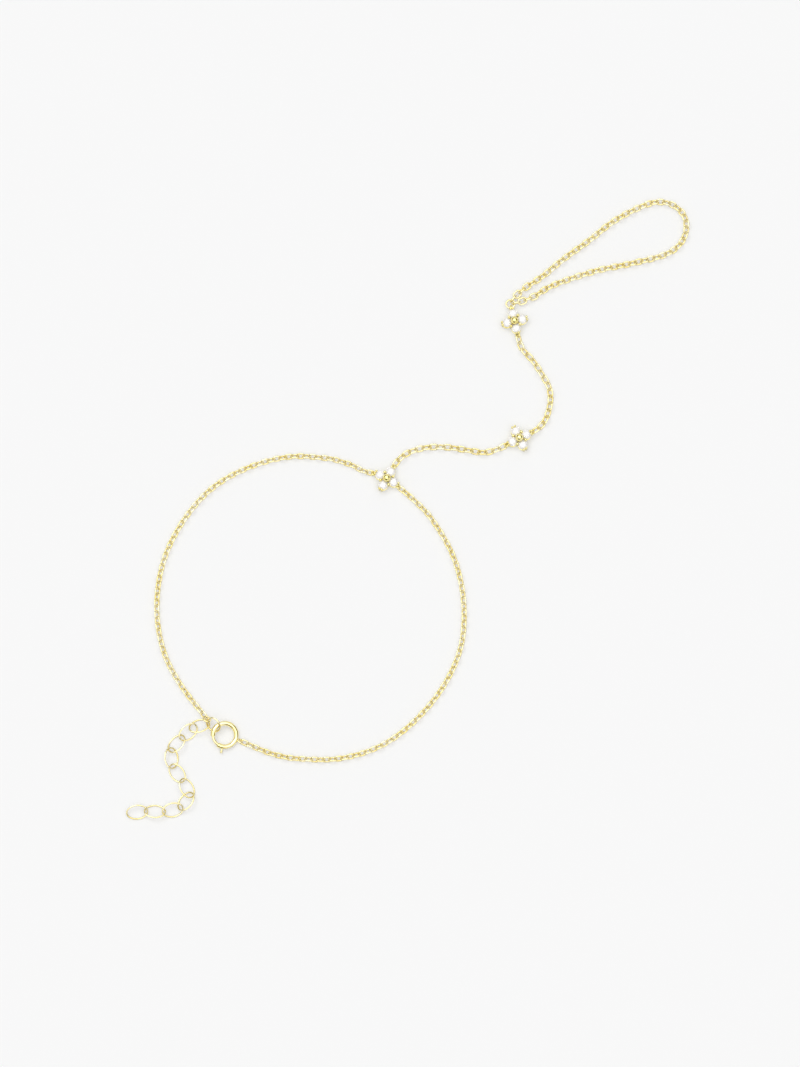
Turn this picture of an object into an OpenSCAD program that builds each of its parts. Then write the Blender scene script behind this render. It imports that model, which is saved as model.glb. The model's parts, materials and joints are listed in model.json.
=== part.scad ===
// Hand chain bracelet: a wrist loop and a finger loop of cable chain, joined across the back of
// the hand, with three four-stone flowers, a spring ring clasp and an extender of oval links.
// It lies flat, as laid out on a table. X and Y are on the surface, Z is up, and the origin is
// in the middle of the wrist loop, on the surface.

/* [Wrist chain] */
// Mean radius of the wrist loop
wrist_loop_r = 27.6; // [25:0.2:32]
// Wire of a wrist link
wrist_wire = 0.28; // [0.24:0.02:0.3]
// Width across a wrist link
wrist_link_w = 1.25; // [1.2:0.05:1.4]
// Distance from one wrist link to the next
wrist_pitch = 1.08; // [1.02:0.02:1.3]

/* [Hand and finger chain] */
// Distance across the hand, from the wrist flower to the knuckle flower
hand_l = 37; // [34:0.5:42]
// Distance from the knuckle flower to the far end of the finger loop
finger_l = 36; // [33:0.5:40]
// Wire of a hand or finger link
hand_wire = 0.3; // [0.26:0.02:0.32]
// Width across a hand or finger link
hand_link_w = 1.4; // [1.3:0.05:1.5]
// Distance between links on the back of the hand
hand_pitch = 1.24; // [1.18:0.02:1.4]
// Distance between links round the finger
finger_pitch = 1.12; // [1.08:0.02:1.3]

/* [Flowers] */
// Diameter of a stone
stone_d = 1.7; // [1.5:0.05:1.8]
// Height of the stones' girdles above the surface
girdle_z = 1.15; // [1.05:0.05:1.4]
// Clear distance between neighbouring stones
stone_apart = 0.28; // [0.26:0.02:0.34]
// Diameter of the ball in the middle
ball_d = 1.42; // [1.3:0.02:1.46]
// Height of the ball's centre above the girdles
ball_rise = 0.56; // [0.54:0.02:0.64]
// Diameter of the neck under the ball
neck_d = 0.9; // [0.8:0.02:0.96]
// Diameter of the hub that joins the petals
hub_d = 1.24; // [1.1:0.02:1.3]
// Diameter of the posts of the claws at the tips of the petals
claw_d = 0.34; // [0.28:0.02:0.4]
// Diameter of the posts of the claws between the petals
shared_claw_d = 0.46; // [0.4:0.02:0.52]
// How much wider a claw's bead is than its post
bead_extra = 0.08; // [0.04:0.02:0.12]
// Height of a claw's bead above the girdles
bead_rise = 0.2; // [0.14:0.02:0.26]
// How far a claw reaches over the edge of its stone
claw_grip = 0.1; // [0.06:0.02:0.14]
// Distance between the two claws at the tip of a petal
claw_spread = 0.5; // [0.44:0.02:0.56]
// Radial width of the rails under the stones
rail_w = 0.26; // [0.2:0.02:0.34]
// Height of the lower rail
low_rail_h = 0.28; // [0.2:0.02:0.32]
// Height of the upper rail
high_rail_h = 0.26; // [0.2:0.02:0.3]
// Mean radius of the eyes that the chains hang in
eye_r = 0.43; // [0.42:0.01:0.48]
// Wire of the eyes
eye_wire = 0.28; // [0.24:0.02:0.3]

/* [Clasp] */
// Outer diameter of the spring ring
clasp_d = 5.1; // [4.9:0.1:5.6]
// Diameter of its tube
clasp_tube = 0.88; // [0.86:0.02:0.92]
// Diameter of the bolt in the tube
bolt_d = 0.5; // [0.4:0.02:0.54]
// Length of the trigger's stem from the middle of the tube
trigger_reach = 1; // [0.9:0.05:1.2]
// Diameter of the trigger's stem
trigger_d = 0.32; // [0.28:0.02:0.36]
// Diameter of the trigger's knob
knob_d = 0.5; // [0.44:0.02:0.6]
// Angle that the bolt slides back through
bolt_travel = 56; // [53:1:58]

/* [Rings and extender] */
// Mean radius of the large ring that the clasp hooks into
end_ring_r = 1.4; // [1.38:0.01:1.44]
// Wire of the large ring
end_ring_wire = 0.34; // [0.3:0.02:0.34]
// Mean radius of the small ring at the end of the left wrist chain
end_link_r = 0.68; // [0.66:0.01:0.7]
// Mean radius of the ring that joins the finger chain to its flower
finger_ring_r = 0.76; // [0.74:0.01:0.8]
// Length of the link between the clasp and the right wrist chain
clasp_link_l = 2; // [1.8:0.05:2.2]
// Wire of the small rings
jump_wire = 0.3; // [0.26:0.02:0.32]
// Length of an extender link
extender_l = 4; // [3.8:0.05:4.1]
// Width of an extender link
extender_w = 2.8; // [2.7:0.05:2.85]
// Wire of an extender link
extender_wire = 0.28; // [0.26:0.01:0.3]

/* [Fits] */
// Clear gap between links that hang in each other
link_gap = 0.14; // [0.12:0.01:0.16]
// Clear gap round a stone in its setting
stone_gap = 0.03; // [0.02:0.01:0.04]
// Clear gap round the bolt in its channel
bolt_gap = 0.06; // [0.05:0.01:0.08]

/* [Hidden] */
gold = [0.93, 0.85, 0.62];
clear = [0.97, 0.95, 0.93];
wire_fn = 24;
bow_fn = 48;

// Routes of the chains, chosen by eye. A wrist point is an angle round the loop and a share of
// its radius. A hand or finger point is x and y from the flower where its chain starts, as
// shares of the distance across the hand or of the finger loop's length.
routes = [
    [[69.6, 0.968], [73.4, 0.979], [78.4, 0.987], [83.4, 0.994], [98, 1.008], [115, 1.013],
        [131, 1.018], [148, 1.008], [164, 1.005], [181, 1], [197, 0.997], [211, 0.985]],
    [[51.6, 0.981], [45.4, 0.98], [37, 0.984], [20, 0.99], [3, 0.998], [-14, 1.012], [-30, 1.009],
        [-47, 1.009], [-63, 1.019], [-79, 1.012], [-95, 0.998], [-103, 0.995], [-109, 0.989]],
    [[0.085, 0.118], [0.159, 0.149], [0.243, 0.159], [0.322, 0.154], [0.403, 0.141],
        [0.484, 0.132]],
    [[0.119, 0.081], [0.149, 0.163], [0.148, 0.246], [0.111, 0.319], [0.068, 0.386],
        [0.015, 0.448]],
    [[0.044, 0.165], [0.097, 0.201], [0.156, 0.244], [0.236, 0.312], [0.369, 0.411],
        [0.506, 0.519], [0.653, 0.596], [0.733, 0.614], [0.806, 0.594], [0.857, 0.538],
        [0.864, 0.463], [0.829, 0.393], [0.758, 0.344], [0.597, 0.3], [0.433, 0.266],
        [0.351, 0.242], [0.275, 0.217], [0.225, 0.199], [0.18, 0.179], [0.137, 0.154],
        [0.101, 0.129]]
];
// Places of the wrist flower and the clasp, by angle and share of the wrist loop's radius, and of
// the other flowers, as shares of the distance across the hand
wrist_flower_place = [59.7, 0.985];
clasp_place_on_loop = [236.6, 1.008];
middle_flower_place = [0.646, 0.2];
knuckle_flower_place = [0.624, 0.782];
// Heading of each extender link, and how far it is from taut as a share of a link's length
extender_lay = [[198, 0.24], [221, 0.09], [229, 0.1], [273, 0.07], [309, 0.02], [297, 0.16],
    [235, 0.09], [192, 0.02], [178, 0.03], [186, 0]];

// Roll of the links about the line of their chain, to one side and the other in turn
chain_roll = 45;
extender_roll = 24;

// Vectors
up = [0, 0, 1];
function unit(v) = v / norm(v);
function heading(a) = [cos(a), sin(a), 0];
function on_surface(p, z) = [p[0], p[1], z];
// Direction across a line, level for no roll and turned about the line by it
function across(along, roll) =
    let(side = unit(cross(up, along))) cos(roll) * side + sin(roll) * cross(unit(along), side);

// Height of the middle of a rolled ring or link that touches the surface
function lie(w, d, roll) = (w - d) / 2 * sin(roll) + d / 2;
wrist_z = lie(wrist_link_w, wrist_wire, chain_roll);
hand_z = lie(hand_link_w, hand_wire, chain_roll);

// Distance from the middle of one wire to the next, where two links hang in each other
function hang(wire, other) = (wire + other) / 2 + link_gap;

// Places the children with their x axis along a line and their y axis across it
module laid(at, along, side) {
    x = unit(along);
    z = unit(cross(x, side));
    y = cross(z, x);
    multmatrix([[x[0], y[0], z[0], at[0]], [x[1], y[1], z[1], at[1]], [x[2], y[2], z[2], at[2]]])
        children();
}

// Wires
module ring(r, d) {
    rotate_extrude($fn = bow_fn) translate([r, 0]) circle(d = d, $fn = wire_fn);
}

module bow(r, d, turn = 180) {
    rotate_extrude(angle = turn, $fn = bow_fn) translate([r, 0]) circle(d = d, $fn = wire_fn);
}

// One oval link: two half rings and two straight wires, with its length along x
module link(l, w, d) {
    r = (w - d) / 2;
    half = (l - w) / 2;
    for (side = [-1, 1]) {
        translate([side * half, 0, 0]) rotate([0, 0, -90 * side]) bow(r, d);
        translate([-half, side * r, 0]) rotate([0, 90, 0]) cylinder(d = d, h = 2 * half, $fn = wire_fn);
    }
}

// Oval of four arcs, which meet on lines with a slope of 4 in 3. Its spread is how much larger
// the radius of the side arcs is, and its reach is how far out the centres of the end arcs lie.
function oval_spread(l, w) = 5 * (l - w) / 4;
function oval_reach(l, w) = 0.6 * oval_spread(l, w);
function oval_end_r(l, w, d) = (l - d) / 2 - oval_reach(l, w);

// Each arc is two halves with plain places, mirrored, so that all eight fuse into one wire
module oval(l, w, d) {
    spread = oval_spread(l, w);
    end_r = oval_end_r(l, w, d);
    meet = atan(4 / 3);
    for (over = [0, 1], back = [0, 1]) mirror([over, 0, 0]) mirror([0, back, 0]) {
        translate([oval_reach(l, w), 0, 0]) bow(end_r, d, meet);
        translate([0, -0.8 * spread, 0]) rotate([0, 0, meet]) bow(end_r + spread, d, 90 - meet);
    }
}

// Smooth curve through points, with a chosen direction at each end
steps = 12;
function curve_point(a, b, da, db, t) =
    let(s = norm(b - a))
    (2 * t ^ 3 - 3 * t ^ 2 + 1) * a + (t ^ 3 - 2 * t ^ 2 + t) * s * da
    + (3 * t ^ 2 - 2 * t ^ 3) * b + (t ^ 3 - t ^ 2) * s * db;
function curve(points, first, last) =
    let(
        n = len(points) - 1,
        dirs = [for (i = [0:n]) i == 0 ? first : i == n ? last : unit(points[i + 1] - points[i - 1])]
    )
    [for (i = [0:n - 1], j = [0:steps - 1])
        curve_point(points[i], points[i + 1], dirs[i], dirs[i + 1], j / steps), points[n]];
// Table of the distance along a curve and one coordinate
function run(points) = [for (i = 0, s = 0; i < len(points);
    i = i + 1, s = s + (i < len(points) ? norm(points[i] - points[i - 1]) : 0)) s];
function table(points, runs, axis) = [for (i = [0:len(points) - 1]) [runs[i], points[i][axis]]];

// A chain lies on a flat curve. Its links can turn upright towards an end, to hang in a level
// ring, and its last end can rise to a ring that is off the surface.
upright_reach = 7;
rise_reach = 4;
function near(distance, reach) = max(0, 1 - distance / reach);
function chain_on(line, pitch, w, d, upright = [0, 0], end_z = 0) =
    let(
        s = run(line),
        length = s[len(s) - 1],
        count = round((length - d - link_gap) / pitch)
    )
    [s, table(line, s, 0), table(line, s, 1), w, d, count, (length - d - link_gap) / count,
        length, upright, end_z];
function chain_count(c) = c[5];
function chain_pitch(c) = c[6];
function link_length(c) = round(100 * (chain_pitch(c) + 2 * c[4] + link_gap)) / 100;
// How far links are turned upright, from the first end and from the last
function upright_turn(c, m) =
    [c[8][0] * near(m, upright_reach), c[8][1] * near(c[7] - m, upright_reach)];
function link_side(c, i) = (chain_count(c) - 1 - i) % 2 == 0 ? 1 : -1;
function link_roll(c, i, m) =
    let(turn = upright_turn(c, m))
    chain_roll * link_side(c, i) + turn[0] * link_side(c, 0) + turn[1];
function chain_z(c, m) =
    let(turn = upright_turn(c, m), z = lie(c[3], c[4], chain_roll + turn[0] + turn[1]))
    z + (c[9] > 0 ? (c[9] - z) * near(c[7] - m, rise_reach) ^ 2 : 0);
function chain_point(c, m) = [lookup(m, c[1]), lookup(m, c[2]), chain_z(c, m)];
// Middle, direction and roll of each link
function link_places(c) =
    let(pitch = chain_pitch(c), first = (pitch + c[4] + link_gap) / 2)
    [for (i = [0:chain_count(c) - 1])
        let(m = first + i * pitch)
        [chain_point(c, m), chain_point(c, m + pitch / 4) - chain_point(c, m - pitch / 4),
            link_roll(c, i, m)]];

module chain(c) {
    for (p = link_places(c))
        laid(p[0], p[1], across(p[1], p[2])) link(link_length(c), c[3], c[4]);
}

// Flowers: place and turn of each. The rails stand out past the stones by a little, and the hub
// and the upper rail stop short of the girdles.
rail_over = 0.02;
top_drop = 0.15;
petals = [0, 90, 180, 270];
function on_loop(place) = place[1] * wrist_loop_r * heading(place[0]);
wrist_flower = on_loop(wrist_flower_place);
middle_flower = wrist_flower + hand_l * on_surface(middle_flower_place, 0);
knuckle_flower = wrist_flower + hand_l * on_surface(knuckle_flower_place, 0);
wrist_turn = 61;
middle_turn = 27;
knuckle_turn = 13;

petal_r = (stone_d + stone_apart) / sqrt(2);
rail_r = stone_d / 2 + rail_over;
shared_grip = 0.7 * claw_grip;
tip_claw_r = (stone_d + claw_d) / 2 - claw_grip;
tip_claw_turn = asin(claw_spread / 2 / tip_claw_r);
between_claw_r = (stone_d + shared_claw_d) / 2 - shared_grip;
shared_claw_r = petal_r * cos(45) + sqrt(max(0, between_claw_r ^ 2 - (petal_r * sin(45)) ^ 2));
flower_r = petal_r + tip_claw_r * cos(tip_claw_turn) + claw_d / 2;

// Stone shape
table_share = 0.56;
crown_h = 0.15 * stone_d;
pavilion_h = 0.43 * stone_d;
girdle_h = 0.03 * stone_d;

// Eyes: the middle of an eye's hole, and where the first wire in it goes
eye_clear = 0.08;
eye_out = flower_r + eye_clear;
function eye_at(flower, dir, z) = flower + eye_out * heading(dir) + [0, 0, z];
function eye_pass(flower, dir, z, wire) =
    flower + (eye_out + eye_r - hang(eye_wire, wire)) * heading(dir) + [0, 0, z];

// Clasp: tilted, with the side that the large ring passes round raised
clasp_at = on_loop(clasp_place_on_loop);
clasp_r = (clasp_d - clasp_tube) / 2;
hook_dir = 138;
clasp_eye_dir = 340;
clasp_link_dir = 337;
end_ring_tilt = 50;
end_ring_z = end_ring_r * sin(end_ring_tilt) + end_ring_wire / 2;
clasp_tilt = asin((end_ring_z - clasp_tube / 2) / (2 * clasp_r));
clasp_z = clasp_tube / 2 + clasp_r * sin(clasp_tilt);
gate_from = 185;
gate_to = 235;
trigger_at = 259;
socket_depth = 5;
bolt_tip = gate_from - 2;
bolt_tail = trigger_at + 4;
channel_end = bolt_tail + bolt_travel + socket_depth;
slot_spare = 8;

// Large ring: its middle, and a point of its wire by angle from the hooking direction
end_ring_at = clasp_at + (clasp_r * cos(clasp_tilt) + end_ring_r - hang(clasp_tube, end_ring_wire))
    * heading(hook_dir) + [0, 0, end_ring_z];
end_ring_side = cos(end_ring_tilt) * heading(hook_dir - 90) + sin(end_ring_tilt) * up;
function end_ring_point(a) =
    end_ring_at + end_ring_r * (cos(a) * heading(hook_dir) + sin(a) * end_ring_side);
function end_ring_tangent(a) = cos(a) * end_ring_side - sin(a) * heading(hook_dir);

// Small ring between the large ring and the left wrist chain
end_link_turn = -5;
end_link_heading = 125;
end_link_slope = 22;
end_link_dir = cos(end_link_slope) * heading(end_link_heading) - sin(end_link_slope) * up;
end_link_at = end_ring_point(end_link_turn)
    + (end_link_r - hang(end_ring_wire, jump_wire)) * end_link_dir;
wrist_left_end = end_link_at + (end_link_r - hang(jump_wire, wrist_wire)) * end_link_dir;

// Link between the clasp's eye and the right wrist chain
clasp_link_w = wrist_link_w + jump_wire - wrist_wire;
clasp_link_z = lie(clasp_link_w, jump_wire, chain_roll);
eye_sunk = 0.05;
clasp_eye_out = clasp_d / 2 + eye_r - eye_sunk;
clasp_eye_at = on_surface(clasp_at + clasp_eye_out * heading(clasp_eye_dir), clasp_link_z);
clasp_link_half = (clasp_link_l - jump_wire) / 2;
clasp_link_at = clasp_eye_at + (eye_r - hang(eye_wire, jump_wire)) * heading(clasp_eye_dir)
    + clasp_link_half * heading(clasp_link_dir);
wrist_right_end = clasp_link_at
    + (clasp_link_half - hang(jump_wire, wrist_wire)) * heading(clasp_link_dir);

// Ring between the knuckle flower and both ends of the finger chain. It lies level, and the
// links and the eye that hold it are upright.
finger_dir = knuckle_turn + 90;
finger_ring_z = lie(hand_link_w, hand_wire, 90);
finger_ring_at = eye_pass(knuckle_flower, finger_dir, finger_ring_z, jump_wire)
    + finger_ring_r * heading(finger_dir);
function finger_pass(a) =
    finger_ring_at + (finger_ring_r - hang(jump_wire, hand_wire)) * heading(finger_dir + a);

// The five chains
function wrist_points(k) = [for (p = routes[k]) on_loop(p)];
function hand_points(k, flower, reach) = [for (p = routes[k]) flower + reach * on_surface(p, 0)];
wrist_eyes = [wrist_turn + 95, wrist_turn - 95];
wrist_headings = [172, -48];
function wrist_line(k, end, end_heading) =
    curve(concat([eye_pass(wrist_flower, wrist_eyes[k], 0, wrist_wire)], wrist_points(k),
        [on_surface(end, 0)]), heading(wrist_headings[k]), heading(end_heading));
function hand_line(k, flower, dir, end_flower, end_dir) =
    curve(concat([eye_pass(flower, dir, 0, hand_wire)], hand_points(k, flower, hand_l),
        [eye_pass(end_flower, end_dir, 0, hand_wire)]), heading(dir), -heading(end_dir));
finger_passes = [-25, -95];
finger_headings = [60, 189];
finger_line = curve(concat([on_surface(finger_pass(finger_passes[0]), 0)],
    hand_points(4, knuckle_flower, finger_l), [on_surface(finger_pass(finger_passes[1]), 0)]),
    heading(finger_headings[0]), heading(finger_headings[1]));

wrist_left = chain_on(wrist_line(0, wrist_left_end, end_link_heading + 180),
    wrist_pitch, wrist_link_w, wrist_wire, end_z = wrist_left_end[2]);
wrist_right = chain_on(wrist_line(1, wrist_right_end, clasp_link_dir + 180),
    wrist_pitch, wrist_link_w, wrist_wire);
hand_lower = chain_on(hand_line(2, wrist_flower, wrist_turn, middle_flower, middle_turn + 180),
    hand_pitch, hand_link_w, hand_wire);
hand_upper = chain_on(hand_line(3, middle_flower, middle_turn, knuckle_flower, knuckle_turn - 90),
    hand_pitch, hand_link_w, hand_wire);
finger = chain_on(finger_line, finger_pitch, hand_link_w, hand_wire, upright = [45, 45]);
function first_roll(c) = chain_roll * link_side(c, 0);

// Extender links: each hangs in the one before it, the first in the large ring
extender_z = lie(extender_w, extender_wire, extender_roll);
extender_half = oval_reach(extender_l, extender_w);
extender_hold = 2 * oval_end_r(extender_l, extender_w, extender_wire) - extender_wire - link_gap;
extender_turn = -40;
extender_start = on_surface(end_ring_point(extender_turn), extender_z)
    + ((extender_l - extender_wire) / 2 - hang(end_ring_wire, extender_wire))
    * heading(extender_lay[0][0]);
function extender_step(k) =
    let(a = extender_lay[k - 1], b = extender_lay[k])
    extender_half * (heading(a[0]) + heading(b[0]))
    + (extender_hold - a[1] * extender_l) * heading((a[0] + b[0]) / 2);
function extender_at(k) = k == 0 ? extender_start : extender_at(k - 1) + extender_step(k);

module extender_link(k) {
    along = heading(extender_lay[k][0]);
    color(gold) laid(extender_at(k), along, across(along, extender_roll * (k % 2 == 0 ? 1 : -1)))
        oval(extender_l, extender_w, extender_wire);
}

// One claw: a post with a round bead on its end
module claw(d) {
    cylinder(d = d, h = girdle_z + bead_rise, $fn = wire_fn);
    translate([0, 0, girdle_z + bead_rise]) sphere(d = d + bead_extra, $fn = wire_fn);
}

module rail(z, h) {
    translate([0, 0, z]) difference() {
        cylinder(r = rail_r, h = h, $fn = bow_fn);
        translate([0, 0, -h]) cylinder(r = rail_r - rail_w, h = 3 * h, $fn = bow_fn);
    }
}

// Room that a stone takes in its setting, with the gap all round
module stone_room() {
    r = stone_d / 2 + stone_gap;
    table_r = r * table_share;
    translate([0, 0, girdle_z]) rotate_extrude($fn = bow_fn) polygon([
        [0, -pavilion_h - stone_gap * 2], [r, -girdle_h / 2], [r, girdle_h / 2 + stone_gap],
        [table_r, crown_h + stone_gap * 2], [table_r, crown_h + 1], [0, crown_h + 1]]);
}

module setting(place, turn, eyes) {
    color(gold) translate(place) difference() {
        union() {
            rotate([0, 0, turn]) {
                cylinder(d = hub_d, h = girdle_z - top_drop, $fn = bow_fn);
                cylinder(d = neck_d, h = girdle_z + ball_rise, $fn = bow_fn);
                translate([0, 0, girdle_z + ball_rise]) sphere(d = ball_d, $fn = bow_fn);
                for (a = petals) rotate([0, 0, a]) {
                    translate([petal_r, 0, 0]) {
                        rail(0, low_rail_h);
                        rail(girdle_z - top_drop - high_rail_h, high_rail_h);
                        for (side = [-1, 1]) rotate([0, 0, side * tip_claw_turn])
                            translate([tip_claw_r, 0, 0]) claw(claw_d);
                    }
                    rotate([0, 0, 45]) translate([shared_claw_r, 0, 0]) claw(shared_claw_d);
                }
            }
            for (e = eyes)
                laid(eye_at([0, 0, 0], e[0], e[1]), heading(e[0]), across(heading(e[0]), e[2]))
                    ring(eye_r, eye_wire);
        }
        for (a = petals) rotate([0, 0, turn + a]) translate([petal_r, 0, 0]) stone_room();
    }
}

module setting_wrist() {
    setting(wrist_flower, wrist_turn, [
        [wrist_turn, hand_z, -first_roll(hand_lower)],
        [wrist_eyes[0], wrist_z, -first_roll(wrist_left)],
        [wrist_eyes[1], wrist_z, -first_roll(wrist_right)]]);
}

module setting_middle() {
    setting(middle_flower, middle_turn, [
        [middle_turn, hand_z, -first_roll(hand_upper)],
        [middle_turn + 180, hand_z, chain_roll]]);
}

module setting_knuckle() {
    setting(knuckle_flower, knuckle_turn, [
        [knuckle_turn - 90, hand_z, chain_roll],
        [finger_dir, finger_ring_z, 90]]);
}

// Round brilliant: an eight-sided table, star, kite and upper girdle facets, and below them
// lower girdle facets and eight long kites that meet in a point
module stone() {
    r = stone_d / 2;
    star_r = 0.8 * r;
    star_z = crown_h * (r - star_r * cos(22.5)) / (r - table_share * r);
    break_r = 0.25 * r;
    break_z = pavilion_h * (1 - break_r * cos(22.5) / r);
    function at(radius, a, z) = [radius * cos(a), radius * sin(a), z];
    points = concat(
        [for (i = [0:7]) at(table_share * r, i * 45, crown_h + girdle_h / 2)],
        [for (i = [0:7]) at(star_r, i * 45 + 22.5, star_z + girdle_h / 2)],
        [for (i = [0:15]) at(r, i * 22.5, girdle_h / 2)],
        [for (i = [0:15]) at(r, i * 22.5, -girdle_h / 2)],
        [for (i = [0:7]) at(break_r, i * 45 + 22.5, -break_z - girdle_h / 2)],
        [[0, 0, -pavilion_h - girdle_h / 2]]);
    faces = concat(
        [[for (i = [7:-1:0]) i]],
        [for (i = [0:7]) [i, (i + 1) % 8, 8 + i]],
        [for (i = [0:7]) [i, 8 + i, 16 + 2 * i]],
        [for (i = [0:7]) [i, 16 + 2 * i, 8 + (i + 7) % 8]],
        [for (i = [0:7]) [8 + i, 17 + 2 * i, 16 + 2 * i]],
        [for (i = [0:7]) [8 + i, 16 + (2 * i + 2) % 16, 17 + 2 * i]],
        [for (i = [0:15]) [16 + i, 16 + (i + 1) % 16, 32 + (i + 1) % 16, 32 + i]],
        [for (i = [0:7]) [32 + 2 * i, 33 + 2 * i, 48 + i]],
        [for (i = [0:7]) [33 + 2 * i, 32 + (2 * i + 2) % 16, 48 + i]],
        [for (i = [0:7]) [32 + 2 * i, 48 + i, 56]],
        [for (i = [0:7]) [32 + 2 * i, 56, 48 + (i + 7) % 8]]);
    polyhedron(points = points, faces = faces);
}

module placed_stone(place, turn, k) {
    color(clear) translate(place) rotate([0, 0, turn + petals[k]])
        translate([petal_r, 0, girdle_z]) stone();
}

// Clasp
module clasp_place() {
    translate(clasp_at + [0, 0, clasp_z])
        rotate(a = clasp_tilt, v = cross(heading(hook_dir), up)) children();
}

module arc_rod(r, d, from, to) {
    rotate([0, 0, from]) rotate_extrude(angle = to - from, $fn = bow_fn)
        translate([r, 0]) circle(d = d, $fn = wire_fn);
}

// Tube of the clasp, with the bolt's channel, its socket across the gate and the trigger's slot
module clasp_ring() {
    channel_d = bolt_d + 2 * bolt_gap;
    slot_w = trigger_d + 2 * bolt_gap;
    color(gold) {
        clasp_place() difference() {
            arc_rod(clasp_r, clasp_tube, gate_to, gate_from + 360);
            arc_rod(clasp_r, channel_d, gate_to - 1, channel_end);
            arc_rod(clasp_r, channel_d, gate_from - socket_depth, gate_from + 1);
            rotate([0, 0, trigger_at - slot_spare])
                rotate_extrude(angle = bolt_travel + 2 * slot_spare, $fn = bow_fn)
                    translate([clasp_r, -slot_w / 2]) square([clasp_tube, slot_w]);
        }
        laid(clasp_eye_at, heading(clasp_eye_dir), across(heading(clasp_eye_dir), -chain_roll))
            ring(eye_r, eye_wire);
    }
}

module clasp_bolt() {
    color(gold) clasp_place() {
        arc_rod(clasp_r, bolt_d, bolt_tip, bolt_tail);
        rotate([0, 0, trigger_at]) translate([clasp_r, 0, 0]) {
            rotate([0, 90, 0]) cylinder(d = trigger_d, h = trigger_reach, $fn = wire_fn);
            translate([trigger_reach, 0, 0]) sphere(d = knob_d, $fn = wire_fn);
        }
    }
}

module clasp_link() {
    color(gold) laid(clasp_link_at, heading(clasp_link_dir), across(heading(clasp_link_dir), chain_roll))
        link(clasp_link_l, clasp_link_w, jump_wire);
}

module end_ring() {
    color(gold) laid(end_ring_at, heading(hook_dir), end_ring_side) ring(end_ring_r, end_ring_wire);
}

module end_link() {
    color(gold) laid(end_link_at, end_link_dir, cross(end_ring_tangent(end_link_turn), end_link_dir))
        ring(end_link_r, jump_wire);
}

module finger_ring() {
    color(gold) translate(finger_ring_at) ring(finger_ring_r, jump_wire);
}

module wrist_chain_left() { color(gold) chain(wrist_left); }
module wrist_chain_right() { color(gold) chain(wrist_right); }
module hand_chain_lower() { color(gold) chain(hand_lower); }
module hand_chain_upper() { color(gold) chain(hand_upper); }
module finger_chain() { color(gold) chain(finger); }

wrist_chain_left();
wrist_chain_right();
hand_chain_lower();
hand_chain_upper();
finger_chain();
setting_wrist();
setting_middle();
setting_knuckle();
clasp_ring();
clasp_bolt();
clasp_link();
end_ring();
end_link();
finger_ring();
for (k = [0:3]) {
    placed_stone(wrist_flower, wrist_turn, k);
    placed_stone(middle_flower, middle_turn, k);
    placed_stone(knuckle_flower, knuckle_turn, k);
}
for (k = [0:len(extender_lay) - 1])
    extender_link(k);
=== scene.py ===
# Looks of the hand chain bracelet: links, flowers, stones and clasp as fine meshes, in pale gold
import json

import bmesh
import bpy
import numpy as np
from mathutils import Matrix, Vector


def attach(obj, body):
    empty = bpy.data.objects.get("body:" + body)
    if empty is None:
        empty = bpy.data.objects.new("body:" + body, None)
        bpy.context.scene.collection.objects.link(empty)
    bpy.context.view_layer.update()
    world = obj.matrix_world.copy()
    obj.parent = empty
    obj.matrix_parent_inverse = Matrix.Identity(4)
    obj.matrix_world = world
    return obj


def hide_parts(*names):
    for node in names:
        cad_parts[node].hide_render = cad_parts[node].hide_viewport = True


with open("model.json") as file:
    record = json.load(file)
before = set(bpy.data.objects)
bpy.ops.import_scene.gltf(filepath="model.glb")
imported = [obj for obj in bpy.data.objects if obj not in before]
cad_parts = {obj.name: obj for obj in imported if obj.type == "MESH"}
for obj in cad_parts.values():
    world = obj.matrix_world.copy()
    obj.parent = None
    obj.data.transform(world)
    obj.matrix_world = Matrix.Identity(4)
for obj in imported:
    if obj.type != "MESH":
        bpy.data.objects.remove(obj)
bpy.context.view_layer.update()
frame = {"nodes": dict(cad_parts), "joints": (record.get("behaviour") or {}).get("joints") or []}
mm = 0.001
up = np.array([0, 0, 1.0])
flat = np.array([1, 1, 0])


# Small vector tools
def unit(v):
    return v / np.linalg.norm(v, axis=-1, keepdims=True)


def heading(degrees):
    turn = np.radians(degrees)
    return np.stack([np.cos(turn), np.sin(turn), np.zeros_like(turn)], axis=-1)


# Meshes
# Quads of a grid of rows and columns, each way closed or open
def gridFaces(rows, columns, closedRows=True, closedColumns=True):
    i = np.arange(rows if closedRows else rows - 1)[:, None]
    j = np.arange(columns if closedColumns else columns - 1)[None, :]
    nextI, nextJ = (i + 1) % rows, (j + 1) % columns
    corners = [i * columns + j, nextI * columns + j, nextI * columns + nextJ, i * columns + nextJ]
    return np.stack(np.broadcast_arrays(*corners), axis=-1).reshape(-1, 4)


# One mesh of several surfaces, each given as points and quads. Points nearer than mergeReach
# become one where the surfaces have poles. Inner is each point's share of painted shade, for the
# material.
mergeReach = 1e-7


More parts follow.
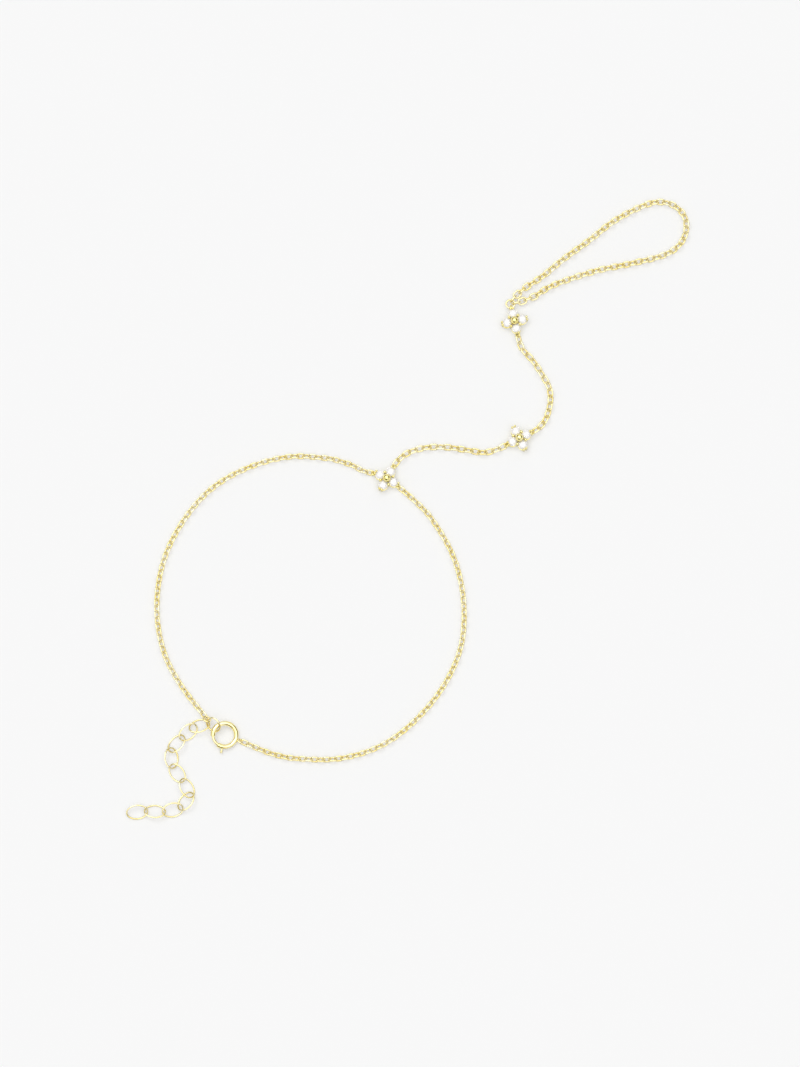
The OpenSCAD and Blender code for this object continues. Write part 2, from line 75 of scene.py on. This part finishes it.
def makePiece(name, surfaces, material, nodes, body="bracelet", mergePoles=False, inner=None):
    pointSets, quadSets = zip(*surfaces)
    firsts = np.cumsum([0] + [len(points) for points in pointSets[:-1]])
    points = np.concatenate(pointSets)
    quads = np.concatenate([quads + first for quads, first in zip(quadSets, firsts)])
    mesh = bpy.data.meshes.new(name)
    mesh.vertices.add(len(points))
    mesh.vertices.foreach_set("co", points.astype(np.float32).ravel())
    mesh.loops.add(quads.size)
    mesh.loops.foreach_set("vertex_index", quads.astype(np.int32).ravel())
    mesh.polygons.add(len(quads))
    mesh.polygons.foreach_set("loop_start", np.arange(0, quads.size, 4, dtype=np.int32))
    mesh.update(calc_edges=True)
    if mergePoles:
        work = bmesh.new()
        work.from_mesh(mesh)
        bmesh.ops.remove_doubles(work, verts=work.verts, dist=mergeReach)
        bmesh.ops.recalc_face_normals(work, faces=work.faces)
        work.to_mesh(mesh)
        work.free()
    # The share of painted shade goes on the mesh as the attribute "inner"
    if inner is not None:
        shares = mesh.attributes.new("inner", "FLOAT", "POINT")
        shares.data.foreach_set("value", inner.astype(np.float32))
    mesh.polygons.foreach_set("use_smooth", np.full(len(mesh.polygons), True))
    mesh.materials.append(material)
    piece = bpy.data.objects.new(name, mesh)
    bpy.context.scene.collection.objects.link(piece)
    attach(piece, body)
    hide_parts(*nodes)


# The separate solids of a CAD node, each as an array of points. Triangles that share a corner
# take the lowest label among them until nothing changes. Corners count as one place where they
# agree when rounded to the grid.
placeGrid = 1e-7


def solidsOf(node):
    mesh = frame["nodes"][node].data
    co = np.empty(len(mesh.vertices) * 3, np.float32)
    mesh.vertices.foreach_get("co", co)
    co = co.reshape(-1, 3).astype(float)
    mesh.calc_loop_triangles()
    triangles = np.empty(len(mesh.loop_triangles) * 3, np.int32)
    mesh.loop_triangles.foreach_get("vertices", triangles)
    places, same = np.unique(np.round(co / placeGrid).astype(np.int64), axis=0,
                             return_inverse=True)
    triangles = same.reshape(-1)[triangles].reshape(-1, 3)
    label = np.arange(len(places))
    while True:
        lowest = label.copy()
        np.minimum.at(lowest, triangles.ravel(), np.repeat(label[triangles].min(axis=1), 3))
        lowest = lowest[lowest]
        if np.array_equal(lowest, label):
            break
        label = lowest
    return [places[label == one] * placeGrid for one in np.unique(label)]


# The lay of a solid: the middle of its box along its own three axes, those axes, and its
# length, width and thickness along them
def layOf(points):
    middle = points.mean(axis=0)
    axes = np.linalg.svd(points - middle, full_matrices=False)[2]
    along = (points - middle) @ axes.T
    lowest, highest = along.min(axis=0), along.max(axis=0)
    return middle + (lowest + highest) / 2 @ axes, axes, highest - lowest


# Materials
def nodeOf(tree, kind, **sockets):
    node = tree.nodes.new(kind)
    for name, value in sockets.items():
        node.inputs[name].default_value = value
    return node


goldLook = {
    "tone": (0.96, 0.828, 0.37, 1),
    "paleTone": (0.99, 0.912, 0.6, 1),
    # Darker gold of the painted shade on the inner side of a link's wire
    "paintedInnerShade": (0.82, 0.76, 0.60, 1),
    "toneScale": 420,
    "toneDetail": 3.0,
    "toneRange": (0.35, 0.65),
    "polishScale": 2600,
    "polishDetail": 5.0,
    "polishStretch": (1, 0.35, 1),
    "bump": 0.000004,
    "bumpStrength": 0.35,
}


# Polished gold plating: the tone drifts slowly between two golds, and fine polishing marks
# change the gloss and the bump. A depth under 1 takes blue out of both golds. The attribute
# "inner" darkens the inner side of a link's wire: painted shade where the wires cross and shade
# each other.
def goldMaterial(name, roughness, marks, depth=1.0):
    material = bpy.data.materials.new(name)
    material.use_nodes = True
    tree = material.node_tree
    shader = tree.nodes["Principled BSDF"]
    shader.inputs["Metallic"].default_value = 1
    place = tree.nodes.new("ShaderNodeTexCoord")
    drift = nodeOf(tree, "ShaderNodeTexNoise", Scale=goldLook["toneScale"],
                   Detail=goldLook["toneDetail"])
    stretch = nodeOf(tree, "ShaderNodeMapping", Scale=goldLook["polishStretch"])
    polish = nodeOf(tree, "ShaderNodeTexNoise", Scale=goldLook["polishScale"],
                    Detail=goldLook["polishDetail"])
    tones = tree.nodes.new("ShaderNodeValToRGB")
    for stop, tone, position in zip(tones.color_ramp.elements, ("tone", "paleTone"),
                                    goldLook["toneRange"]):
        stop.color = np.multiply(goldLook[tone], (1, 1, depth, 1))
        stop.position = position
    # Painted shade: the gold is multiplied down towards a darker gold by the share "inner"
    inner = tree.nodes.new("ShaderNodeAttribute")
    inner.attribute_name = "inner"
    shade = tree.nodes.new("ShaderNodeValToRGB")
    shade.color_ramp.elements[0].color = (1, 1, 1, 1)
    shade.color_ramp.elements[1].color = goldLook["paintedInnerShade"]
    shaded = tree.nodes.new("ShaderNodeVectorMath")
    shaded.operation = "MULTIPLY"
    gloss = tree.nodes.new("ShaderNodeMapRange")
    gloss.inputs["To Min"].default_value = roughness - marks
    gloss.inputs["To Max"].default_value = roughness + marks
    bump = nodeOf(tree, "ShaderNodeBump", Strength=goldLook["bumpStrength"],
                  Distance=goldLook["bump"])
    link = tree.links.new
    link(place.outputs["Object"], drift.inputs["Vector"])
    link(place.outputs["Object"], stretch.inputs["Vector"])
    link(stretch.outputs["Vector"], polish.inputs["Vector"])
    link(drift.outputs["Fac"], tones.inputs["Fac"])
    link(inner.outputs["Fac"], shade.inputs["Fac"])
    link(tones.outputs["Color"], shaded.inputs[0])
    link(shade.outputs["Color"], shaded.inputs[1])
    link(shaded.outputs["Vector"], shader.inputs["Base Color"])
    link(polish.outputs["Fac"], gloss.inputs["Value"])
    link(gloss.outputs["Result"], shader.inputs["Roughness"])
    link(polish.outputs["Fac"], bump.inputs["Height"])
    link(bump.outputs["Normal"], shader.inputs["Normal"])
    return material


stoneLook = {
    # Near-white colour with a faint pink: painted brightness for the light the facets throw about
    "paintedWhite": (1.0, 0.98, 0.978, 1),
    "clear": 0.18,
    "ior": 2.15,
    "hazeScale": 900,
    "hazeDetail": 2.0,
    "hazeRoughness": 0.03,
}


# Clear cut stone: colourless glass of a high index for a small share, and for the rest a
# near-white colour, painted brightness that stands in for the light its facets throw about, with a
# trace of haze
def stoneMaterial(name):
    material = bpy.data.materials.new(name)
    material.use_nodes = True
    tree = material.node_tree
    shader = tree.nodes["Principled BSDF"]
    # The base colour is painted brightness, near white
    shader.inputs["Base Color"].default_value = stoneLook["paintedWhite"]
    shader.inputs["Transmission Weight"].default_value = stoneLook["clear"]
    shader.inputs["IOR"].default_value = stoneLook["ior"]
    place = tree.nodes.new("ShaderNodeTexCoord")
    haze = nodeOf(tree, "ShaderNodeTexNoise", Scale=stoneLook["hazeScale"],
                  Detail=stoneLook["hazeDetail"])
    gloss = tree.nodes.new("ShaderNodeMapRange")
    gloss.inputs["To Min"].default_value = 0.0
    gloss.inputs["To Max"].default_value = stoneLook["hazeRoughness"]
    tree.links.new(place.outputs["Object"], haze.inputs["Vector"])
    tree.links.new(haze.outputs["Fac"], gloss.inputs["Value"])
    tree.links.new(gloss.outputs["Result"], shader.inputs["Roughness"])
    return material


chainGold = goldMaterial("chainGold", roughness=0.2, marks=0.06)
settingGold = goldMaterial("settingGold", roughness=0.16, marks=0.05, depth=0.8)
claspGold = goldMaterial("claspGold", roughness=0.13, marks=0.04)
clearStone = stoneMaterial("clearStone")
print("materials made")

# Links and rings
linkShape = {
    "around": 12,
    "bowSteps": 11,
    "straightSteps": 3,
    "roundBelow": 0.1,
    "seamDepth": 0.06,
    "seamWidth": 0.03 * mm,
    "ovalSteps": 10,
}


# Track of a link: two half circles and two straights, or one circle where the straights come to
# next to nothing of the wire. It gives the points, the outward direction at each, and which of
# them lies in the seam.
def linkTrack(length, width, wire):
    radius, half = (width - wire) / 2, (length - width) / 2
    bow = np.linspace(-90, 90, linkShape["bowSteps"] + 1)
    if half < linkShape["roundBelow"] * wire:
        seam = np.degrees(linkShape["seamWidth"] / radius)
        turn = np.concatenate([bow[:-1], 90 + np.array([-seam, 0, seam]), bow[1:] + 180])[:-1]
        outward = heading(np.sort(turn))
        return outward * radius, outward, linkShape["bowSteps"] + 1
    steps = linkShape["straightSteps"]
    share = np.linspace(1, -1, steps + 2)[1:-1, None] * half
    beside = np.array([[1.0, 0, 0]]) * linkShape["seamWidth"]
    over = np.array([[0, 1.0, 0]])
    right, left = heading(bow), heading(bow + 180)
    track = np.concatenate([
        right * radius + [half, 0, 0],
        over * radius + beside, over * radius, over * radius - beside,
        left * radius - [half, 0, 0], -over * radius - share * [1, 0, 0]])
    outward = np.concatenate([right, over.repeat(3, axis=0), left, -over.repeat(steps, axis=0)])
    return track, outward, linkShape["bowSteps"] + 2


# Track of an oval of four arcs, which meet on lines with a slope of 4 in 3. The spread is how much
# larger the radius of the side arcs is: five quarters of the length less the width. The reach and
# the back are how far from the middle the end arcs and the side arcs are struck. With the spread
# they make a triangle of sides 3, 4 and 5.
def ovalTrack(length, width, wire):
    steps, spread = linkShape["ovalSteps"], 1.25 * (length - width)
    reach, back = 0.6 * spread, 0.8 * spread
    end = (length - wire) / 2 - reach
    meet = np.degrees(np.arctan2(back, reach))
    bow = np.linspace(-meet, meet, steps, endpoint=False)
    flank = np.linspace(meet, 180 - meet, steps, endpoint=False)
    ends = heading(bow) * end + [reach, 0, 0]
    sides = heading(flank) * (end + spread) - [0, back, 0]
    return (np.concatenate([ends, sides, -ends, -sides]),
            heading(np.concatenate([bow, flank, bow + 180, flank + 180])), steps + steps // 2)


# Wires of links: a point of the surface is the track's point plus the wire's radius, turned round
# the track's direction from the outward side to the link's normal. The seam is a shallow groove
# across the track.
def linkSurfaces(lays, trackOf=linkTrack):
    middles = np.array([lay[0] for lay in lays])
    axes = np.array([lay[1] for lay in lays])
    length, width, wire = np.array([lay[2] for lay in lays]).mean(axis=0)
    track, outward, seam = trackOf(length, width, wire)
    thick = np.ones(len(track))
    thick[seam] -= linkShape["seamDepth"]
    turn = np.linspace(0, 2 * np.pi, linkShape["around"], endpoint=False)[None, :, None]
    one = track[:, None] + wire / 2 * thick[:, None, None] * (
        np.cos(turn) * outward[:, None] + np.sin(turn) * up)
    faces = gridFaces(len(track), linkShape["around"])
    points = middles[:, None, None] + np.einsum("uvk,nkx->nuvx", one, axes)
    inward = np.linalg.det(axes) < 0
    return [(link.reshape(-1, 3), faces[:, ::-1] if turned else faces)
            for link, turned in zip(points, inward)]


chainNodes = ["wrist_chain_left", "wrist_chain_right", "hand_chain_lower", "hand_chain_upper",
              "finger_chain"]
ringNodes = ["end_ring", "end_link", "finger_ring", "clasp_link"]
extenderNodes = sorted(name for name in frame["nodes"] if name.startswith("extender_link"))
# Share of painted shade round a wire: full on the side towards the link's middle, none on the
# outer half
paintedShadeRing = np.clip(-np.cos(np.linspace(0, 2 * np.pi, linkShape["around"], endpoint=False)), 0, 1)
linkLays = {}
for node in chainNodes + ringNodes + extenderNodes:
    linkLays[node] = [layOf(points) for points in solidsOf(node)]
    surfaces = linkSurfaces(linkLays[node], ovalTrack if node in extenderNodes else linkTrack)
    rings = sum(len(points) for points, quads in surfaces) // len(paintedShadeRing)
    makePiece(node + "_wires", surfaces, chainGold, [node], inner=np.tile(paintedShadeRing, rings))
print("links made:", sum(len(lays) for lays in linkLays.values()))

# Stones keep their CAD facets
for name, node in frame["nodes"].items():
    if name.startswith("stone_"):
        node.data.materials.clear()
        node.data.materials.append(clearStone)
print("stones dressed")


# Surface of a wire along a flat path, with round ends: the path's points, each plus the wire's
# radius there, turned from the in-plane normal to the plane's own. The ends are half spheres,
# whose rings go on along the path by sine and shrink by cosine.
def wireSurface(path, radii, planeNormal, around=14, capSteps=4):
    tangent = unit(np.gradient(path, axis=0))
    lean = np.radians(np.linspace(90, 0, capSteps, endpoint=False))[:, None]
    first = path[0] - tangent[0] * radii[0] * np.sin(lean)
    last = path[-1] + tangent[-1] * radii[-1] * np.sin(lean[::-1])
    shrink = np.cos(lean[:, 0])
    radii = np.concatenate([radii[0] * shrink, radii, radii[-1] * shrink[::-1]])
    tangent = np.concatenate([np.repeat(tangent[:1], capSteps, axis=0), tangent,
                              np.repeat(tangent[-1:], capSteps, axis=0)])
    path = np.concatenate([first, path, last])
    normal = unit(np.cross(planeNormal, tangent))
    turn = np.linspace(0, 2 * np.pi, around, endpoint=False)[None, :, None]
    points = path[:, None] + radii[:, None, None] * (
        np.cos(turn) * normal[:, None] + np.sin(turn) * planeNormal)
    return points.reshape(-1, 3), gridFaces(len(path), around, closedRows=False)


# Surface turned from a profile of radii and heights round the vertical through a point
def turnedSurface(middle, profile, around=48, closedProfile=False):
    turn = np.linspace(0, 360, around, endpoint=False)
    points = middle + profile[:, None, :1] * heading(turn)[None] + profile[:, None, 1:] * up
    return points.reshape(-1, 3), gridFaces(len(profile), around, closedRows=closedProfile)


# Flowers
flowerShape = {
    "railOver": 0.02 * mm,
    "railWidth": 0.26 * mm,
    "lowRail": (0.0, 0.28 * mm),
    "highRail": (-0.41 * mm, -0.15 * mm),
    "railRoundness": 4,
    "clawWire": 0.34 * mm,
    "sharedClawWire": 0.46 * mm,
    "clawGrip": 0.1 * mm,
    "clawSpread": 0.5 * mm,
    "beadExtra": 0.08 * mm,
    "beadRise": 0.2 * mm,
    "edge": 0.04 * mm,
    "hubRadius": 0.62 * mm,
    "hubDrop": 0.15 * mm,
    "neckRadius": 0.45 * mm,
    "ballRadius": 0.71 * mm,
    "ballRise": 0.56 * mm,
    "eyeRadius": 0.43 * mm,
    "eyeWire": 0.28 * mm,
    "eyeSearch": 3.9 * mm,
    "eyeCone": 0.9,
    "eyeBand": 0.01 * mm,
    "girdleBand": 0.98,
    "pavilion": 0.43,
    "seatGap": 0.03 * mm,
    "sharedGrip": 0.7,
    "railSteps": 16,
    "clawSteps": 10,
    "clawAround": 20,
    "ballSteps": 18,
}


# Profile of a gallery rail: a rounded oblong, a superellipse of the rail's width and height,
# whose inner side is kept outside the stone's cone
def railProfile(stoneRadius, girdle, low, high):
    shape = flowerShape
    turn = np.linspace(0, 2 * np.pi, shape["railSteps"], endpoint=False)
    power = 2 / shape["railRoundness"]
    across = np.sign(np.cos(turn)) * np.abs(np.cos(turn)) ** power
    rise = np.sign(np.sin(turn)) * np.abs(np.sin(turn)) ** power
    outer = stoneRadius + shape["railOver"]
    radius = outer - shape["railWidth"] / 2 * (1 - across)
    height = (low + high) / 2 + (high - low) / 2 * rise
    cone = stoneRadius * (1 - (girdle - height) / (2 * shape["pavilion"] * stoneRadius))
    return np.stack([np.maximum(radius, cone + shape["seatGap"]), height], axis=1)


# Profile of a ball on a post: the arc of the ball begins where it meets the post, at the angle
# whose cosine is the post's radius over the ball's
def knobArc(post, ball, height, steps):
    belt = np.linspace(-np.arccos(post / ball), np.pi / 2, steps)
    return np.stack([ball * np.cos(belt), height + ball * np.sin(belt)], axis=1)


# A claw is a round post with a bead on its end
def clawSurface(foot, girdle, wire):
    shape = flowerShape
    edge, post = shape["edge"], wire / 2
    start = np.array([[0, edge / 2], [post - edge, edge / 2], [post, edge * 1.5]])
    radius, height = post + shape["beadExtra"] / 2, girdle + shape["beadRise"]
    bead = knobArc(post, radius, height, shape["clawSteps"])
    return turnedSurface(foot, np.concatenate([start, bead]), shape["clawAround"])


# A flower: its stones give the places and sizes, its CAD setting the directions of its eyes, as
# the middle of the points that reach farthest towards each link that hangs near it
def flowerSurfaces(name, lays):
    shape = flowerShape
    stones = [solidsOf(f"stone_{name}_{k}")[0] for k in range(1, 5)]
    hearts = [(points.min(axis=0) + points.max(axis=0)) / 2 for points in stones]
    hearts = np.array(hearts) * flat
    middle = hearts.mean(axis=0)
    reach = np.linalg.norm((stones[0] - hearts[0]) * flat, axis=1)
    stoneRadius = reach.max()
    girdle = stones[0][reach > shape["girdleBand"] * stoneRadius, 2].mean()
    surfaces = []
    for heart in hearts:
        outward = unit(heart - middle)
        side = np.cross(up, outward)
        for low, high in (shape["lowRail"], np.add(shape["highRail"], girdle)):
            profile = railProfile(stoneRadius, girdle, low, high)
            surfaces.append(turnedSurface(heart, profile, closedProfile=True))
        clawReach = stoneRadius + shape["clawWire"] / 2 - shape["clawGrip"]
        for half in (-0.5, 0.5):
            sideways = half * shape["clawSpread"]
            foot = np.sqrt(clawReach**2 - sideways**2) * outward + sideways * side
            surfaces.append(clawSurface(heart + foot, girdle, shape["clawWire"]))
        between = unit(outward + side)
        petal = np.linalg.norm(heart - middle)
        grip = shape["sharedGrip"] * shape["clawGrip"]
        gripReach = stoneRadius + shape["sharedClawWire"] / 2 - grip
        sharedReach = petal * np.sqrt(0.5) + np.sqrt(gripReach**2 - petal**2 / 2)
        foot = middle + sharedReach * between
        surfaces.append(clawSurface(foot, girdle, shape["sharedClawWire"]))
    edge, hub, neck = shape["edge"], shape["hubRadius"], shape["neckRadius"]
    top = girdle - shape["hubDrop"]
    post = np.array([[0, edge / 2], [hub - edge, edge / 2], [hub, edge * 1.5], [hub, top - edge],
                     [hub - edge, top], [neck + edge, top], [neck, top + edge]])
    ball = knobArc(neck, shape["ballRadius"], girdle + shape["ballRise"], shape["ballSteps"])
    surfaces.append(turnedSurface(middle, np.concatenate([post, ball])))
    spread = (solidsOf(f"setting_{name}")[0] - middle) * flat
    distance = np.linalg.norm(spread, axis=1)
    for lay in lays:
        away = (lay[0] - middle) * flat
        if np.linalg.norm(away) > shape["eyeSearch"]:
            continue
        ahead = spread @ unit(away) > shape["eyeCone"] * distance
        farthest = distance[ahead].max()
        tip = ahead & (distance > farthest - shape["eyeBand"])
        outward = unit(spread[tip].mean(axis=0))
        eyeReach = farthest - shape["eyeRadius"] - shape["eyeWire"] / 2
        surfaces += eyeSurfaces(middle + eyeReach * outward, outward, lay)
    return surfaces


# An eye hangs crosswise to the link that it holds: its plane holds the outward line and the
# link's normal
def eyeSurfaces(place, outward, lay):
    size = 2 * flowerShape["eyeRadius"] + flowerShape["eyeWire"]
    normal = unit(np.cross(outward, lay[1][2]))
    axes = np.array([outward, np.cross(normal, outward), normal])
    middle = place * flat + lay[0][2] * up
    return linkSurfaces([(middle, axes, np.array([size, size, flowerShape["eyeWire"]]))])


hanging = [lay for node in chainNodes + ["finger_ring"] for lay in linkLays[node]]
for name in ("wrist", "middle", "knuckle"):
    makePiece(f"flower_{name}", flowerSurfaces(name, hanging), settingGold, [f"setting_{name}"],
              mergePoles=True)
print("flowers made")

# Clasp, with its angles in degrees round the ring
claspShape = {
    "ringRadius": 2.11 * mm,
    "tubeRadius": 0.44 * mm,
    "boreRadius": 0.31 * mm,
    "gate": (185, 235),
    "slot": (251, 323),
    "slotHalf": 0.22 * mm,
    "seamHalf": 0.012 * mm,
    "rim": 0.07 * mm,
    "boltRadius": 0.25 * mm,
    "bolt": (183, 263),
    "trigger": 259,
    "triggerRadius": 0.16 * mm,
    "triggerReach": 1.0 * mm,
    "knobRadius": 0.25 * mm,
    "knobHalf": 0.0001 * mm,
    "rimRound": 0.1,
    "tubeSteps": 120,
    "tubeAround": 33,
    "endSpan": 6,
    "endSteps": 9,
    "boltSteps": 40,
    "boltAround": 20,
    "stemSteps": 6,
    "knobSteps": 8,
}
joint = frame["joints"][0]
claspMiddle = np.array(joint["pos_m"])
claspTurn = np.array(Vector((0, 0, 1)).rotation_difference(Vector(joint["axis"])).to_matrix())


def onClasp(points):
    return claspMiddle + points @ claspTurn.T


# The clasp's tube is rolled from sheet: its section is a ring with a slit on the outer side. The
# slit is a hairline seam, and widens along quarter circles to the trigger's slot. The outer side
# draws in along quarter circles at the tube's two ends. The stations lie closer there and at the
# slot's ends, by the square of the step.
def claspTube():
    shape = claspShape
    start, end = shape["gate"][1], shape["gate"][0] + 360
    close = np.linspace(0, 1, shape["endSteps"]) ** 2 * shape["endSpan"]
    slotFrom, slotTo = shape["slot"]
    station = np.unique(np.round(np.concatenate([
        np.linspace(start, end, shape["tubeSteps"]),
        start + close, end - close, slotFrom + close, slotTo - close]), 3))
    arc = np.radians(1) * shape["ringRadius"]
    inSlot = np.minimum(station - slotFrom, slotTo - station) * arc / shape["slotHalf"]
    widened = np.sqrt(1 - (1 - np.clip(inSlot, 0, 1)) ** 2)
    half = shape["seamHalf"] + (shape["slotHalf"] - shape["seamHalf"]) * widened
    toEnd = np.minimum(station - start, end - station) * arc / shape["rim"]
    rounding = 1 - shape["rimRound"] * (1 - np.sqrt(1 - (1 - np.clip(toEnd, 0, 1)) ** 2))
    outer, inner = shape["tubeRadius"] * rounding, np.full(len(station), shape["boreRadius"])
    outerGap, innerGap = np.arcsin(half / outer), np.arcsin(half / inner)
    share = np.linspace(0, 1, shape["tubeAround"])[None]
    outerTurn = outerGap[:, None] + share * (2 * np.pi - 2 * outerGap[:, None])
    innerTurn = (innerGap[:, None] + share * (2 * np.pi - 2 * innerGap[:, None]))[:, ::-1]
    turn = np.concatenate([outerTurn, innerTurn], axis=1)
    radius = np.repeat(np.stack([outer, inner], axis=1), shape["tubeAround"], axis=1)
    way = shape["ringRadius"] + radius * np.cos(turn)
    points = way[..., None] * heading(station)[:, None] + (radius * np.sin(turn))[..., None] * up
    rows, columns = turn.shape
    sides = gridFaces(rows, columns, closedRows=False)
    i = np.arange(columns // 2 - 1)
    lid = np.stack([i, i + 1, columns - 2 - i, columns - 1 - i], axis=1)
    lids = np.concatenate([lid, lid[:, ::-1] + (rows - 1) * columns])
    return onClasp(points.reshape(-1, 3)), np.concatenate([sides, lids])


# The bolt is a round rod bent along the ring, and its trigger a stem that ends in a ball
def claspBolt():
    shape = claspShape
    ring, steps, stemSteps = shape["ringRadius"], shape["boltSteps"], shape["stemSteps"]
    arc = np.linspace(*shape["bolt"], steps)
    rod = wireSurface(ring * heading(arc), np.full(steps, shape["boltRadius"]), up,
                      around=shape["boltAround"])
    out = heading(np.array(shape["trigger"]))
    reach = np.linspace(ring, ring + shape["triggerReach"], stemSteps)
    stem = wireSurface(reach[:, None] * out, np.full(stemSteps, shape["triggerRadius"]), up)
    knobPath = ring + shape["triggerReach"] + np.array([-1, 1]) * shape["knobHalf"]
    knob = wireSurface(knobPath[:, None] * out, np.full(2, shape["knobRadius"]), up,
                       around=shape["boltAround"], capSteps=shape["knobSteps"])
    return [(onClasp(points), quads) for points, quads in (rod, stem, knob)]


# The clasp's eye lies where its CAD solid reaches farthest from the middle
reaches = (solidsOf("clasp_ring")[0] - claspMiddle) * flat
farthest = reaches[np.argmax(np.linalg.norm(reaches, axis=1))]
eyeSize = flowerShape["eyeRadius"] + flowerShape["eyeWire"] / 2
eyePlace = claspMiddle + farthest * (1 - eyeSize / np.linalg.norm(farthest))
claspEye = eyeSurfaces(eyePlace, unit(farthest), linkLays["clasp_link"][0])
makePiece("clasp_tube", [claspTube()] + claspEye, claspGold, ["clasp_ring"], mergePoles=True)
makePiece("clasp_sliding_bolt", claspBolt(), claspGold, ["clasp_bolt"], body="bolt",
          mergePoles=True)
print("clasp made")

# Floor, light and camera, at the photograph's angle
studio = {
    "lookAt": (16.1 * mm, 13.5 * mm, 0.5 * mm),
    "elevation": 80,
    "distance": 1.5,
    "widthSeen": 144 * mm,
    "floorSize": 4,
    "floorHeight": -0.02 * mm,
    "paper": {
        "Base Color": (0.5386, 0.5399, 0.5425, 1),
        "Roughness": 0.9,
        "Specular IOR Level": 0.1,
        "Emission Color": (1, 1, 1, 1),
        "Emission Strength": 0.33,
    },
    "skyTone": (1.0, 0.993, 0.982, 1),
    "topStrength": 1.91,
    "sideStrength": 0.763,
    "overhead": (0.72, 0.92),
    "sheets": 3,
    "sheetTurn": 15,
    "sheetSide": (0.0, 0.55),
    "sheetFoot": (0.03, 0.14),
    "sheetTop": (0.6, 0.8),
    "sheetStrength": 0.085,
    "sunTone": (0.92, 0.96, 1.0),
    "sunStrength": 0.53,
    "sunWidth": 28,
    "sunWay": (0.45, -0.5, -1),
}
bpy.ops.mesh.primitive_plane_add(size=studio["floorSize"], location=(0, 0, studio["floorHeight"]))
floor = bpy.context.object
floor.name = "floor"
paper = bpy.data.materials.new("paper")
paper.use_nodes = True
for socket, value in studio["paper"].items():
    paper.node_tree.nodes["Principled BSDF"].inputs[socket].default_value = value
floor.data.materials.append(paper)

# Sky: white all round and brighter overhead, with three dark sheets over the horizon that give the
# metal its dark lines. They stand where the cosine of three times the azimuth is high. Each pair
# of values in the studio is where an edge starts and ends, in height or in that cosine.
world = bpy.data.worlds.new("studio")
bpy.context.scene.world = world
world.use_nodes = True
sky = world.node_tree
background = sky.nodes["Background"]
background.inputs["Color"].default_value = studio["skyTone"]


def skyMath(operation, first, second=0.0):
    node = sky.nodes.new("ShaderNodeMath")
    node.operation = operation
    for socket, value in zip(node.inputs, (first, second)):
        if isinstance(value, bpy.types.NodeSocket):
            sky.links.new(value, socket)
        else:
            socket.default_value = value
    return node.outputs["Value"]


def skyRange(value, low, high, start=0.0, end=1.0):
    node = sky.nodes.new("ShaderNodeMapRange")
    node.interpolation_type = "SMOOTHSTEP"
    sockets = ("From Min", "From Max", "To Min", "To Max")
    for socket, number in zip(sockets, (low, high, start, end)):
        node.inputs[socket].default_value = number
    sky.links.new(value, node.inputs["Value"])
    return node.outputs["Result"]


skyPlace = sky.nodes.new("ShaderNodeTexCoord")
skySplit = sky.nodes.new("ShaderNodeSeparateXYZ")
sky.links.new(skyPlace.outputs["Generated"], skySplit.inputs["Vector"])
azimuth = skyMath("ARCTAN2", skySplit.outputs["Y"], skySplit.outputs["X"])
sheets, height = studio["sheets"], skySplit.outputs["Z"]
turned = skyMath("SUBTRACT", skyMath("MULTIPLY", azimuth, sheets),
                 sheets * np.radians(studio["sheetTurn"]))
sheet = skyRange(skyMath("COSINE", turned), *studio["sheetSide"])
rise = skyRange(height, *studio["sheetFoot"])
fall = skyRange(height, *studio["sheetTop"], 1.0, 0.0)
shade = skyMath("MULTIPLY", skyMath("MULTIPLY", rise, fall), sheet)
overhead = skyRange(height, *studio["overhead"], studio["sideStrength"], studio["topStrength"])
share = skyRange(shade, 0.0, 1.0, 1.0, studio["sheetStrength"] / studio["sideStrength"])
sky.links.new(skyMath("MULTIPLY", overhead, share), background.inputs["Strength"])

sun = bpy.data.objects.new("softKey", bpy.data.lights.new("softKey", "SUN"))
sun.data.energy = studio["sunStrength"]
sun.data.color = studio["sunTone"]
sun.data.angle = np.radians(studio["sunWidth"])
sun.rotation_euler = Vector(studio["sunWay"]).to_track_quat("-Z", "Y").to_euler()
bpy.context.scene.collection.objects.link(sun)

camera = bpy.data.objects.new("camera", bpy.data.cameras.new("camera"))
bpy.context.scene.collection.objects.link(camera)
tilt = np.radians(studio["elevation"])
target = Vector(studio["lookAt"])
camera.location = target + studio["distance"] * Vector((0, -np.cos(tilt), np.sin(tilt)))
camera.rotation_euler = (target - camera.location).to_track_quat("-Z", "Y").to_euler()
camera.data.sensor_fit = "HORIZONTAL"
camera.data.lens = camera.data.sensor_width * studio["distance"] / studio["widthSeen"]
bpy.context.scene.camera = camera
bpy.context.scene.view_settings.view_transform = "Standard"
print("studio made")
